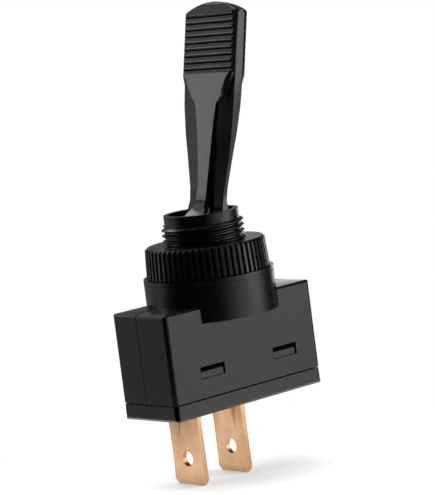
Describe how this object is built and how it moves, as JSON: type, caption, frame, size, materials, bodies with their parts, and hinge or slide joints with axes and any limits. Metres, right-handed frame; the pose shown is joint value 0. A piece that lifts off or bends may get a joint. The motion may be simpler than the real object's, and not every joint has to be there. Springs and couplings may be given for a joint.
{
  "type": "panel toggle switch",
  "caption": "Panel toggle switch with a black ridged duckbill lever, threaded neck with ring nut, snap-together rectangular case and copper push-on blade terminals.",
  "frame": {"origin": "on the neck's axis, in the collar's top face that seats against the panel", "axes": "+Z out of the panel along the neck, +X along the case towards the side the lever leans to when it is on, Y across the case"},
  "size_m": [0.0284, 0.0188, 0.0674],
  "materials": {
    "black_plastic": "satin",
    "lever_plastic": "satin",
    "pin_steel": "plain",
    "spring_steel": "plain",
    "nylon": "matte",
    "contact_brass": "plain",
    "contact_silver": "satin",
    "blade_copper": "satin"
  },
  "bodies": {
    "body": {"housing": "black_plastic", "base": "black_plastic", "pivot_pin": "pin_steel", "fixed_contact_rivet": "contact_silver", "common_terminal": "blade_copper", "load_terminal": "blade_copper"},
    "nut": {"ring_nut": "black_plastic"},
    "lever": {"lever": "lever_plastic", "plunger_spring": "spring_steel"},
    "plunger": {"plunger": "nylon"},
    "rocker": {"rocker_contact": "contact_brass", "moving_contact_rivet": "contact_silver"}
  },
  "joints": [
    {"name": "lever_swing", "type": "hinge", "parent": "body", "child": "lever", "pos_m": [0, 0, 0.0026], "axis": [0, 1, 0], "range_deg": [-26, 0]},
    {"name": "rocker_tilt", "type": "hinge", "parent": "body", "child": "rocker", "pos_m": [0.0004, 0, -0.0116], "axis": [0, 1, 0], "range_deg": [0, 16]},
    {"name": "plunger_slide", "type": "slide", "parent": "lever", "child": "plunger", "axis": [0.225, 0, 0.9744], "range_m": [0, 0.0008], "stiffness_N_per_m": 800, "springref_m": -0.001, "deforming": ["plunger_spring"]},
    {"name": "nut_turn", "type": "hinge", "parent": "body", "child": "nut", "pos_m": [0, 0, 0], "axis": [0, 0, 1], "continuous": true}
  ],
  "couplings": [
    {"joint": "rocker_tilt", "follows": "lever_swing", "ratio": -0.61538}
  ]
}
